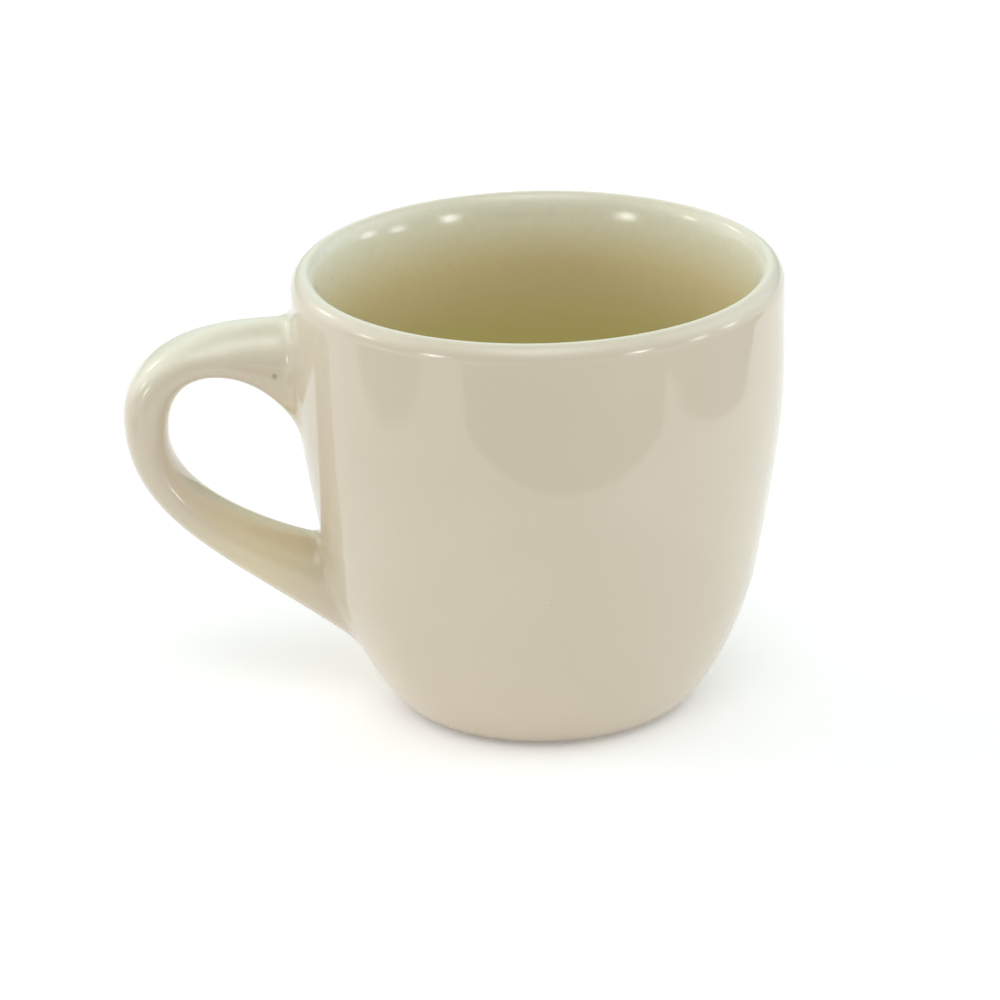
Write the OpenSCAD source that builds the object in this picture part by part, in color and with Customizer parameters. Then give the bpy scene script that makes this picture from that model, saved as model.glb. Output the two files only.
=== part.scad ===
// After-dinner coffee cup in thick vitrified hotel china, with one loop handle.
// The bowl stands on its foot ring at z = 0, its axis is Z, and the handle points to -X.
// The clay body, the handle, the slip that lutes them together and the glaze are separate solids.

/* [Bowl] */
// Height from the table to the crest of the lip
cup_h = 59.6; // [57:0.1:66]
// Outside radius of the upright upper wall
rim_r = 32; // [30:0.1:36]
// Thickness of the wall where the side becomes upright
wall_t = 4.6; // [3.8:0.1:5.4]
// Thickness of the wall at the foot of the lip's inner rounding
lip_t = 3.9; // [3.4:0.1:4.6]
// Distance of the lip's crest from the outside of the wall
lip_crest = 1.85; // [1.5:0.05:2.2]
// Height of the lip's outer rounding
lip_h = 2.5; // [1.5:0.1:3.2]
// Height of the lip's inner rounding
lip_in_h = 4.5; // [2.5:0.1:5.5]
// Lean of the inside wall at the foot of the lip's inner rounding, in degrees from upright
lip_lean = 9; // [4:0.5:12]
// Drop from the crest of the lip to where the side becomes upright
upright_drop = 12.6; // [9:0.1:16]
// Outside radius of the hip, where the rounded bottom turn becomes the steep side
hip_r = 28.2; // [26.5:0.1:29]
// Height of the hip
hip_z = 18.4; // [16:0.1:21]
// Thickness of the wall at the hip
hip_t = 4.3; // [3.2:0.1:5]
// Slope of the side at the hip, in degrees above the table
hip_angle = 79; // [74:0.5:84]
// Thickness of the floor over the foot recess
floor_t = 4.8; // [3.5:0.1:6]

/* [Foot] */
// Outside radius of the foot where it meets the table
foot_r = 18; // [16.5:0.1:19.5]
// Width of the bare ring that stands on the table
foot_w = 2.6; // [1.8:0.1:3.6]
// Slope at which the side leaves the foot, in degrees above the table
foot_angle = 12; // [9:1:22]
// Depth of the recess inside the foot ring
recess_h = 1.8; // [1.2:0.1:2.6]
// Run of the rounded corner between the foot ring and the recess ceiling
recess_corner = 1.6; // [1:0.1:2.4]

/* [Glaze] */
// Thickness of the glaze coat
glaze_t = 0.25; // [0.2:0.05:0.4]

/* [Handle] */
// Reach of the handle past the upright wall
handle_reach = 22.3; // [20:0.1:26]
// Drop from the middle of the side, between the hip and the lip, to the middle of the handle
handle_drop = 9; // [7:0.1:10.5]
// Height of the handle, from its top line to the foot of its lower root
handle_h = 46.2; // [43:0.1:47]
// Drop from the handle's top line to its outermost point
bow_drop = 12.8; // [11:0.1:15.5]
// Thickness of the handle at its outermost point
grip_t = 5.8; // [4.6:0.1:6.6]
// Drop from the handle's top line to the top of the finger gap
gap_drop = 7; // [6.2:0.1:8]
// Height of the upper root on the wall
upper_root_h = 16.6; // [14:0.1:18]
// Height of the lower root on the wall
lower_root_h = 15.3; // [12:0.1:16]
// Width of the handle across the loop
handle_w = 10.2; // [8:0.1:12]
// Extra width of the handle at each root
root_extra_w = 1.4; // [0:0.1:2.4]

/* [Slip joints] */
// Thickness of the slip layer between the end of the handle and the wall
slip_t = 0.4; // [0.3:0.1:0.8]
// Run of the slip bead along the handle, from the wall
bead = 1.8; // [1.2:0.1:2.2]
// Run of the slip bead along the wall, from the handle
bead_foot = 2.4; // [1.2:0.1:2.8]

/* [Hidden] */

// Steps along each curve of an outline, and facets of the preview round the axis
curve_steps = 12;
round_steps = 144;

// Sides of the handle's section, rings along its loop and rings across a slip bead
section_sides = 28;
loop_rings = 44;
bead_rings = 4;

// Overrun of the cutting solids past what they cut
over = 1;

// Depth inside the wall at which the handle's curves end
root_in = 0.8;

// Depth to which the solids that are trimmed at the wall run on into it
root_sink = 2.4;

// Film of slip at the outer edge of a bead, over the handle
film_t = 0.08;

// Depth in the wall at which a bead's foot ends
bead_bite = 0.1;

// Fullness of the handle's section, where 2 is an ellipse
section_fullness = 2.4;

// Share of the bottom turn, from the table up, that the glaze leaves bare
dry_share = 0.1;

// Share of the recess's depth, from the table up, that the glaze leaves bare
recess_dry_share = 0.25;

// Control arms at the start and the end of each curve of the bowl,
// as shares of the distance between the curve's ends
bottom_turn_shares = [0.21, 0.24];
steep_side_shares = [0.4, 0.28];
lip_out_shares = [0.44, 0.33];
lip_in_shares = [0.24, 0.49];
inner_mouth_shares = [0.35, 0.35];
inner_side_shares = [0.3, 0.27];
inner_turn_shares = [0.42, 0.46];
recess_turn_shares = [0.5, 0.5];

// Inner control points of the handle's curves,
// as shares of the run and of the rise between the curve's ends
outer_upper_shares = [[0.42, -0.05], [1, 0.16]];
outer_lower_shares = [[0, 0.43], [0.467, 0.6]];
inner_flare_shares = [[0.04, 0.14], [0.34, 1]];
inner_upper_shares = [[0.6, 0], [1, 0.33]];
inner_lower_shares = [[0, 0.49], [0.44, 0.8]];

// Place where the flare under the upper root meets the level top of the finger gap,
// as a share of the gap's reach
gap_start_share = 0.65;

// Drop from the outermost point of the handle to that of the finger gap, as a share of the thickness
gap_bow_share = 0.4;

// Share of the upper half of the loop that the flare takes
flare_share = 0.5;

// Shares of one half of the loop: over which it widens to a root, at which a root lies at the most,
// at which its trimmed blank begins inside the wall, and over which its direction is probed
widen_share = 0.35;
root_search_share = 0.6;
blank_share = 0.1;
probe_share = 0.02;

clay = [0.80, 0.76, 0.68];
slip = [0.76, 0.71, 0.62];
coat = [0.83, 0.80, 0.72];

function unit(v) = v / norm(v);

function rest(v) = [for (k = [1 : len(v) - 1]) v[k]];

function reversed(v) = [for (k = [len(v) - 1 : -1 : 0]) v[k]];

function mean(v, k = 0) = k == len(v) ? v[0] * 0 : v[k] / len(v) + mean(v, k + 1);

// Point of a cubic curve c, where s is the share of the way along it
function curve_at(c, s) =
    pow(1 - s, 3) * c[0] + 3 * pow(1 - s, 2) * s * c[1] + 3 * (1 - s) * s * s * c[2] + pow(s, 3) * c[3];

function curve_points(c, from_share = 0) =
    [for (k = [0 : curve_steps]) curve_at(c, from_share + (1 - from_share) * k / curve_steps)];

// Cubic curve from a to b, given its directions in degrees and its arms' shares
function aimed_curve(a, a_dir, b, b_dir, shares) =
    let (d = norm(b - a))
    [a, a + shares[0] * d * [cos(a_dir), sin(a_dir)], b - shares[1] * d * [cos(b_dir), sin(b_dir)], b];

// Cubic curve from a to b, given its inner control points' shares
function span_curve(a, b, shares) =
    let (d = b - a)
    [a, for (s = shares) a + [s[0] * d[0], s[1] * d[1]], b];

// Outline moved sideways by d, to the left of its direction of travel, but not past the axis
function moved(pts, d) =
    [for (k = [0 : len(pts) - 1])
        let (a = pts[max(k - 1, 0)],
             b = pts[min(k + 1, len(pts) - 1)],
             t = unit(b - a),
             p = pts[k] + d * [-t[1], t[0]])
        [pts[k][0] == 0 ? 0 : max(p[0], 0), p[1]]];

// Outside of the glazed bowl, from the edge of the dry foot up to the lip
hip = [hip_r, hip_z];
lip_z = cup_h - lip_h;
upright_z = cup_h - upright_drop;
bottom_turn = aimed_curve([foot_r, 0], foot_angle, hip, hip_angle, bottom_turn_shares);
steep_side = aimed_curve(hip, hip_angle, [rim_r, upright_z], 90, steep_side_shares);
outside = concat(curve_points(bottom_turn, dry_share), rest(curve_points(steep_side)), [[rim_r, lip_z]]);

// Rounded lip, from the outside over its crest to the inside
crest = [rim_r - lip_crest, cup_h];
lip_in = [rim_r - lip_t, cup_h - lip_in_h];
lip_out_turn = aimed_curve([rim_r, lip_z], 90, crest, 180, lip_out_shares);
lip_in_turn = aimed_curve(crest, 180, lip_in, 270 - lip_lean, lip_in_shares);
lip = concat(rest(curve_points(lip_out_turn)), rest(curve_points(lip_in_turn)));

// Inside of the glazed bowl, from the lip down to the middle of the floor
inner_top = [rim_r - wall_t, upright_z];
inner_hip = hip + hip_t * [-sin(hip_angle), cos(hip_angle)];
floor_z = recess_h + floor_t;
inner_mouth = aimed_curve(lip_in, 270 - lip_lean, inner_top, 270, inner_mouth_shares);
inner_side = aimed_curve(inner_top, 270, inner_hip, 180 + hip_angle, inner_side_shares);
inner_turn = aimed_curve(inner_hip, 180 + hip_angle, [0, floor_z], 180, inner_turn_shares);
inside = concat(rest(curve_points(inner_mouth)), rest(curve_points(inner_side)),
                rest(curve_points(inner_turn)));

// Whole outline of the glazed bowl, of its clay under the glaze, and of a slip layer on that clay
glazed_outline = concat(outside, lip, inside);
clay_outline = moved(glazed_outline, glaze_t);
slip_outline = moved(glazed_outline, glaze_t - slip_t);

// Part of a whole outline that lies outside the wall
function outside_of(outline) = [for (k = [0 : len(outside) - 1]) outline[k]];

// Recess, from its middle out to the bearing edge, and the part of it that is glazed
ring_in_r = foot_r - foot_w;
recess_turn = aimed_curve([ring_in_r, 0], 100, [ring_in_r - recess_corner, recess_h], 180,
                          recess_turn_shares);
recess = reversed(concat(curve_points(recess_turn), [[0, recess_h]]));
glazed_recess = [for (p = recess) if (p[1] > recess_h * recess_dry_share) p];

// Wall as a table of radius over height
function wall_table(pts) = [for (p = pts) [p[1], p[0]]];

glazed_wall = wall_table(outside);
clay_wall = wall_table(outside_of(clay_outline));

// Heights and distances from the axis of the handle's parts
top_z = (hip_z + cup_h) / 2 - handle_drop + handle_h / 2;
bow_z = top_z - bow_drop;
gap_z = top_z - gap_drop;
low_z = top_z - handle_h;
bow_r = rim_r + handle_reach;
grip_r = bow_r - grip_t;

function root_point(z) = [lookup(z, glazed_wall) - root_in, z];

upper_top = root_point(top_z);
upper_low = root_point(top_z - upper_root_h);
lower_top = root_point(low_z + lower_root_h);
lower_low = root_point(low_z);

// Outlines of the handle in its own plane, as distance from the axis and height
bow = [bow_r, bow_z];
gap_bow = [grip_r, bow_z - grip_t * gap_bow_share];
gap_start = [upper_low[0] + gap_start_share * (grip_r - upper_low[0]), gap_z];
outer_upper = span_curve(upper_top, bow, outer_upper_shares);
outer_lower = span_curve(bow, lower_low, outer_lower_shares);
inner_flare = span_curve(upper_low, gap_start, inner_flare_shares);
inner_upper = span_curve(gap_start, gap_bow, inner_upper_shares);
inner_lower = span_curve(gap_bow, lower_top, inner_lower_shares);

// The loop runs from t = 0 at the upper root over t = 1 at the bow to t = 2 at the lower root.
// Beyond both ends it runs on level into the wall.
function into_wall(t) = [t * root_sink / blank_share, 0];

function outer_at(t) =
    t < 0 ? upper_top + into_wall(t) :
    t < 1 ? curve_at(outer_upper, t) :
    t < 2 ? curve_at(outer_lower, t - 1) :
    lower_low + into_wall(2 - t);

function inner_at(t) =
    t < 0 ? upper_low + into_wall(t) :
    t < flare_share ? curve_at(inner_flare, t / flare_share) :
    t < 1 ? curve_at(inner_upper, (t - flare_share) / (1 - flare_share)) :
    t < 2 ? curve_at(inner_lower, t - 1) :
    lower_top + into_wall(2 - t);

function width_at(t) =
    let (near = max(0, 1 - max(min(t, 2 - t), 0) / widen_share))
    handle_w + root_extra_w * near * near;

function fuller(v) = sign(v) * pow(abs(v), 2 / section_fullness);

function section_middle(t) =
    let (p = (outer_at(t) + inner_at(t)) / 2)
    [-p[0], 0, p[1]];

// Point of the section at angle turn, grown outward by grow
function section_point(t, turn, grow) =
    let (o = outer_at(t),
         i = inner_at(t),
         p = (o + i) / 2 + fuller(cos(turn)) * (norm(o - i) / 2 + grow) * unit(o - i))
    [-p[0], fuller(sin(turn)) * (width_at(t) / 2 + grow), p[1]];

// Place on the loop at a share of the way from one end, where end 0 is the upper root and 1 the lower
function loop_t(share, end) = end == 0 ? share : 2 - share;

// Point moved onto a wall, between its foot and its lip, then level out of it by rise
function onto_wall(p, wall, rise) =
    let (z = min(max(p[2], wall[0][0]), wall[len(wall) - 1][0]))
    concat((lookup(z, wall) + rise) * unit([p[0], p[1]]), z);

// Share of the loop at which the line at angle turn passes out of the wall, found by halving
function root_share(turn, grow, wall, end, low = -blank_share, high = root_search_share, n = 18) =
    let (mid = (low + high) / 2,
         p = section_point(loop_t(mid, end), turn, grow),
         buried = norm([p[0], p[1]]) < lookup(p[2], wall))
    n == 0 ? mid :
    buried ? root_share(turn, grow, wall, end, mid, high, n - 1) :
    root_share(turn, grow, wall, end, low, mid, n - 1);

// Share of the loop at which the bead on that line begins, one bead away from the wall
function bead_share(turn, grow, wall, end) =
    let (s = root_share(turn, grow, wall, end),
         a = section_point(loop_t(s, end), turn, grow),
         b = section_point(loop_t(s + probe_share, end), turn, grow))
    s + bead * probe_share / norm(b - a);

// Line of the bead, from the handle's side round the corner at the wall to its foot in the wall
function bead_line(turn, grow, wall, end) =
    let (t = loop_t(root_share(turn, grow, wall, end), end),
         corner = section_point(t, turn, grow),
         start = section_point(loop_t(bead_share(turn, grow, wall, end), end), turn, grow),
         out = corner - section_middle(t),
         level = unit([corner[0], corner[1], 0]),
         along = unit(out - (out * level) * level),
         foot = onto_wall(corner + bead_foot * along, wall, -bead_bite))
    [for (k = [0 : bead_rings])
        let (s = k / bead_rings)
        (1 - s) * (1 - s) * start + 2 * s * (1 - s) * corner + s * s * foot];

turns = [for (k = [0 : section_sides - 1]) 360 * k / section_sides];

// Rings across the beads of one root, from the handle to the foot, then on into the wall,
// where the last ring closes in halfway on the middle of the root
function bead_ring_list(grow, wall, end) =
    let (lines = [for (turn = turns) bead_line(turn, grow, wall, end)],
         feet = [for (line = lines) line[bead_rings]],
         middle = mean(feet))
    [for (k = [0 : bead_rings]) [for (line = lines) line[k]],
     [for (foot = feet) onto_wall(foot, wall, -root_sink)],
     [for (foot = feet) onto_wall((foot + middle) / 2, wall, -root_sink)]];

// Closed solid through rings of points, with a fan of facets over each end
module loft(rings) {
    n = len(rings[0]);
    m = len(rings);
    skin = [for (j = [0 : m - 2]) for (k = [0 : n - 1])
        let (a = j * n + k, b = j * n + (k + 1) % n)
        each [[a, a + n, b + n], [a, b + n, b]]];
    first_end = [for (k = [0 : n - 1]) [m * n, k, (k + 1) % n]];
    last_end = [for (k = [0 : n - 1]) [m * n + 1, (m - 1) * n + (k + 1) % n, (m - 1) * n + k]];
    polyhedron(
        points = concat([for (r = rings) each r], [mean(rings[0]), mean(rings[m - 1])]),
        faces = concat(skin, first_end, last_end),
        convexity = 4);
}

// Everything within an outside wall line, from under the foot up over the lip
module filled(outline) {
    pts = outside_of(outline);
    rotate_extrude($fn = round_steps)
        polygon(concat([[0, -over], [pts[0][0], -over]], pts,
                       [[pts[len(pts) - 1][0], cup_h + over], [0, cup_h + over]]));
}

// Clay loop of the handle before its ends are trimmed
module handle_blank() {
    loft([for (j = [0 : loop_rings])
        let (t = -blank_share + (2 + 2 * blank_share) * j / loop_rings)
        [for (turn = turns) section_point(t, turn, -glaze_t)]]);
}

// Slip layer and bead at one end of the handle before they are trimmed. The crown closes the blank
// inside the handle and follows the wall, so that the slip layer has no gap where the wall bulges.
module slip_blank(end) {
    rings = bead_ring_list(film_t - glaze_t, clay_wall, end);
    middle = mean(rings[0]);
    crown = [for (p = rings[0]) onto_wall((p + middle) / 2, clay_wall, slip_t + over)];
    closed = concat([crown], rings);
    loft(end == 0 ? reversed(closed) : closed);
}

// Glazed outside of the handle and both beads in one skin before it is trimmed
module handle_coat_blank() {
    spans = [for (turn = turns)
        [for (end = [0, 1]) loop_t(bead_share(turn, 0, glazed_wall, end), end)]];
    loop = [for (j = [1 : loop_rings - 1])
        let (s = j / loop_rings)
        [for (k = [0 : section_sides - 1])
            section_point((1 - s) * spans[k][0] + s * spans[k][1], turns[k], 0)]];
    loft(concat(reversed(bead_ring_list(0, glazed_wall, 0)), loop, bead_ring_list(0, glazed_wall, 1)));
}

module bowl() {
    color(clay) rotate_extrude($fn = round_steps)
        polygon(concat(recess, [[foot_r, 0]], clay_outline));
}

module handle() {
    color(clay) difference() {
        handle_blank();
        filled(slip_outline);
    }
}

module slip_joint(end) {
    color(slip) difference() {
        slip_blank(end);
        filled(clay_outline);
        handle();
    }
}

module upper_slip_joint() {
    slip_joint(0);
}

module lower_slip_joint() {
    slip_joint(1);
}

module bowl_glaze() {
    color(coat) difference() {
        rotate_extrude($fn = round_steps) polygon(concat(glazed_outline, reversed(clay_outline)));
        slip_blank(0);
        slip_blank(1);
    }
}

module handle_glaze() {
    color(coat) difference() {
        handle_coat_blank();
        filled(glazed_outline);
        handle_blank();
        slip_blank(0);
        slip_blank(1);
    }
}

module recess_glaze() {
    color(coat) rotate_extrude($fn = round_steps)
        polygon(concat(glazed_recess, reversed(moved(glazed_recess, -glaze_t))));
}

bowl();
handle();
upper_slip_joint();
lower_slip_joint();
bowl_glaze();
handle_glaze();
recess_glaze();
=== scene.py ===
"""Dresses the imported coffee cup: its glaze, its bare clay, and the studio that it stands in.

The cup's outlines repeat the named sizes of the part's source, in millimetres, with finer steps.
The handle points to -X, and the camera looks along +Y and down on the cup.
"""

import logging
import math
from bisect import bisect_right
from dataclasses import dataclass, field
from enum import Enum
from functools import cached_property
from typing import Callable

import bmesh
import bpy
from mathutils import Matrix, Vector


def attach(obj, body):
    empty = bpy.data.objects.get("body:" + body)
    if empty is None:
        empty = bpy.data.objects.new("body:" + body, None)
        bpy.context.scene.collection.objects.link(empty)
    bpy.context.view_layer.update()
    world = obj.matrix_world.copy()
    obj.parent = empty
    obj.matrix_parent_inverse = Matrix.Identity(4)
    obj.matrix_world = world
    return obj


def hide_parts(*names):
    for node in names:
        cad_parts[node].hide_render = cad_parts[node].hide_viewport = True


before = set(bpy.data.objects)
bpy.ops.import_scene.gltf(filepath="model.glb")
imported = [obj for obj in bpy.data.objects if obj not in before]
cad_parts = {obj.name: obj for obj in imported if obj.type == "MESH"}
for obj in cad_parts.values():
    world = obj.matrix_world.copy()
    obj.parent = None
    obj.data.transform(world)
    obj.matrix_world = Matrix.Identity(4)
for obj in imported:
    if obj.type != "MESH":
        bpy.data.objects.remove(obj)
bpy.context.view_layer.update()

MM = 0.001
LOG = logging.getLogger("cup")
Pair = tuple[float, float]
Arms = tuple[Pair, Pair]
Place = tuple[float, float, float]
Colour = tuple[float, float, float]
Paint = tuple[float, float, float, float]

# Attribute of the bowl's coat: the rise and fall from the lip's outer foot into the cup, in metres
INWARD = "inward"

# Directions of an outline on its way up the outside and down the inside, in degrees
UP, ACROSS, DOWN = 90.0, 180.0, 270.0
HALF_TURN = 180.0

# Steps of each curve of a spun outline
CURVE_STEPS = 16

# Points of a spun outline that lie closer than this become one
MERGE_REACH = 0.002 * MM

# Radius of the circle that a drawn tube starts from, before its points are placed
START_RADIUS = 5 * MM

# Edges of the new pieces that turn by more than this stay sharp
SHARP_ANGLE = math.radians(40)

# The range that smooth noise seldom leaves
NOISE_SPAN = (0.3, 0.7)

# How finely the edge of a spot frays, and where it fades, as shares of its radius
FRAY_SCALE = 2500.0
FRAY_SPAN = (0.6, 1.3)


def unit(x: float, y: float) -> Pair:
    """Return a plane direction at length one."""
    size = math.hypot(x, y)
    return x / size, y / size


def mix(a: Pair, b: Pair, share: float) -> Pair:
    """Return the point at a share of the way from a to b."""
    return a[0] + (b[0] - a[0]) * share, a[1] + (b[1] - a[1]) * share


@dataclass(frozen=True)
class Bend:
    """One cubic curve of an outline, as distance from the axis and height, in millimetres."""

    start: Pair
    start_arm: Pair
    end_arm: Pair
    end: Pair

    @classmethod
    def straight(cls, a: Pair, b: Pair) -> "Bend":
        """Return a straight run from a to b."""
        return cls(a, mix(a, b, 1 / 3), mix(a, b, 2 / 3), b)

    @classmethod
    def aimed(cls, a: Pair, a_slope: float, b: Pair, b_slope: float, shares: Pair) -> "Bend":
        """Return a curve that leaves a and reaches b in given directions.

        Args:
            a: Start of the curve.
            a_slope: Direction at the start, in degrees.
            b: End of the curve.
            b_slope: Direction at the end, in degrees.
            shares: Lengths of the two control arms, as shares of the distance between the ends.

        Returns:
            The curve.
        """
        gap = math.dist(a, b)
        turn_a, turn_b = math.radians(a_slope), math.radians(b_slope)
        arm_a, arm_b = shares[0] * gap, shares[1] * gap
        return cls(
            a,
            (a[0] + arm_a * math.cos(turn_a), a[1] + arm_a * math.sin(turn_a)),
            (b[0] - arm_b * math.cos(turn_b), b[1] - arm_b * math.sin(turn_b)),
            b,
        )

    @classmethod
    def spanned(cls, a: Pair, b: Pair, shares: Arms) -> "Bend":
        """Return a curve whose inner control points are shares of its run and of its rise."""
        arms = [(a[0] + s * (b[0] - a[0]), a[1] + t * (b[1] - a[1])) for s, t in shares]
        return cls(a, arms[0], arms[1], b)

    def at(self, share: float) -> Pair:
        """Return the point at a share of the way along the curve."""
        first, middle, last = self._halves(share)
        return mix(mix(first, middle, share), mix(middle, last, share), share)

    def after(self, share: float) -> "Bend":
        """Return the part of the curve that follows a share of the way along it."""
        first, middle, last = self._halves(share)
        return Bend(self.at(share), mix(middle, last, share), last, self.end)

    def _halves(self, share: float) -> tuple[Pair, Pair, Pair]:
        """Return the first row of points of the curve's construction."""
        return (
            mix(self.start, self.start_arm, share),
            mix(self.start_arm, self.end_arm, share),
            mix(self.end_arm, self.end, share),
        )


@dataclass
class BowlShape:
    """Sizes and outlines of the glazed bowl, in millimetres, as the part's source has them.

    Slopes and the lean are in degrees. Each pair of arms gives the lengths of a curve's two control
    arms, as shares of its span.
    """

    height: float = 59.6
    rim_radius: float = 32.0
    wall: float = 4.6
    lip_wall: float = 3.9
    lip_crest: float = 1.85
    lip_outer_height: float = 2.5
    lip_inner_height: float = 4.5
    lip_lean: float = 9.0
    upright_drop: float = 12.6
    hip: Pair = (28.2, 18.4)
    hip_wall: float = 4.3
    hip_slope: float = 79.0
    floor: float = 4.8
    foot_radius: float = 18.0
    foot_width: float = 2.6
    foot_slope: float = 12.0
    recess_depth: float = 1.8
    recess_corner: float = 1.6
    recess_slope: float = 100.0
    glaze: float = 0.25
    dry_share: float = 0.1
    recess_dry_share: float = 0.25
    foot_arms: Pair = (0.21, 0.24)
    side_arms: Pair = (0.4, 0.28)
    lip_outer_arms: Pair = (0.44, 0.33)
    lip_inner_arms: Pair = (0.24, 0.49)
    inner_lip_arms: Pair = (0.35, 0.35)
    inner_side_arms: Pair = (0.3, 0.27)
    inner_floor_arms: Pair = (0.42, 0.46)
    recess_arms: Pair = (0.5, 0.5)
    table_steps: int = 160
    slope_probe: float = 0.2

    @property
    def lip_base(self) -> float:
        """Height at which the rounded lip begins on the outside."""
        return self.height - self.lip_outer_height

    @property
    def upright_height(self) -> float:
        """Height at which the side becomes upright."""
        return self.height - self.upright_drop

    @property
    def inner_lip(self) -> Pair:
        """Foot of the lip's inner rounding."""
        return self.rim_radius - self.lip_wall, self.height - self.lip_inner_height

    def outside(self) -> list[Bend]:
        """Return the outside, from the edge of the dry foot up to the lip.

        Returns:
            Its curves in order.
        """
        edge = (self.foot_radius, 0)
        foot = Bend.aimed(edge, self.foot_slope, self.hip, self.hip_slope, self.foot_arms)
        top = (self.rim_radius, self.upright_height)
        side = Bend.aimed(self.hip, self.hip_slope, top, UP, self.side_arms)
        return [foot.after(self.dry_share), side, Bend.straight(top, (self.rim_radius, self.lip_base))]

    def lip(self) -> list[Bend]:
        """Return the rounded lip, from the outside over its crest to the inside.

        Returns:
            Its curves in order.
        """
        crest = (self.rim_radius - self.lip_crest, self.height)
        base = (self.rim_radius, self.lip_base)
        outer = Bend.aimed(base, UP, crest, ACROSS, self.lip_outer_arms)
        inner = Bend.aimed(crest, ACROSS, self.inner_lip, DOWN - self.lip_lean, self.lip_inner_arms)
        return [outer, inner]

    def inside(self) -> list[Bend]:
        """Return the inside, from the lip down to the middle of the floor.

        Returns:
            Its curves in order.
        """
        slope = math.radians(self.hip_slope)
        hip = (
            self.hip[0] - self.hip_wall * math.sin(slope),
            self.hip[1] + self.hip_wall * math.cos(slope),
        )
        top = (self.rim_radius - self.wall, self.upright_height)
        middle = (0.0, self.recess_depth + self.floor)
        return [
            Bend.aimed(self.inner_lip, DOWN - self.lip_lean, top, DOWN, self.inner_lip_arms),
            Bend.aimed(top, DOWN, hip, HALF_TURN + self.hip_slope, self.inner_side_arms),
            Bend.aimed(hip, HALF_TURN + self.hip_slope, middle, ACROSS, self.inner_floor_arms),
        ]

    def recess(self) -> list[Bend]:
        """Return the clay of the foot recess, from where its glaze begins to its middle.

        Returns:
            Its curves in order.
        """
        ring = self.foot_radius - self.foot_width
        ceiling = (ring - self.recess_corner, self.recess_depth)
        corner = Bend.aimed((ring, 0), self.recess_slope, ceiling, ACROSS, self.recess_arms)
        middle = (0.0, self.recess_depth)
        return [corner.after(self.recess_dry_share), Bend.straight(ceiling, middle)]

    @cached_property
    def wall_table(self) -> tuple[list[float], list[float]]:
        """Heights and radii along the outside, in fine steps."""
        steps = self.table_steps
        points = [bend.at(k / steps) for bend in self.outside() for k in range(steps)]
        points.append((self.rim_radius, self.lip_base))
        return [p[1] for p in points], [p[0] for p in points]

    def wall_radius(self, height: float) -> float:
        """Return the radius of the outside at a height.

        Args:
            height: Height over the table, in millimetres.

        Returns:
            The radius, which beyond either end of the outside is that of the end.
        """
        heights, radii = self.wall_table
        place = min(max(bisect_right(heights, height), 1), len(heights) - 1)
        low, high = heights[place - 1], heights[place]
        share = min(max((height - low) / (high - low), 0.0), 1.0)
        return radii[place - 1] + share * (radii[place] - radii[place - 1])

    def on_wall(self, point: Vector, rise: float = 0.0) -> Vector:
        """Return a point moved level onto the outside, then out of it by rise."""
        level = Vector((point.x, point.y, 0)).normalized()
        return level * (self.wall_radius(point.z) + rise) + Vector((0, 0, point.z))

    def wall_normal(self, point: Vector) -> Vector:
        """Return the outward direction of the outside at a point on it.

        Args:
            point: A point on the outside, in millimetres.

        Returns:
            The direction, at length one.
        """
        above = self.wall_radius(point.z + self.slope_probe)
        below = self.wall_radius(point.z - self.slope_probe)
        slope = (above - below) / (2 * self.slope_probe)
        level = Vector((point.x, point.y, 0)).normalized()
        return (level - Vector((0, 0, slope))).normalized()


class Root(Enum):
    """End of the handle's loop that joins the bowl."""

    UPPER = 0
    LOWER = 1


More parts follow.
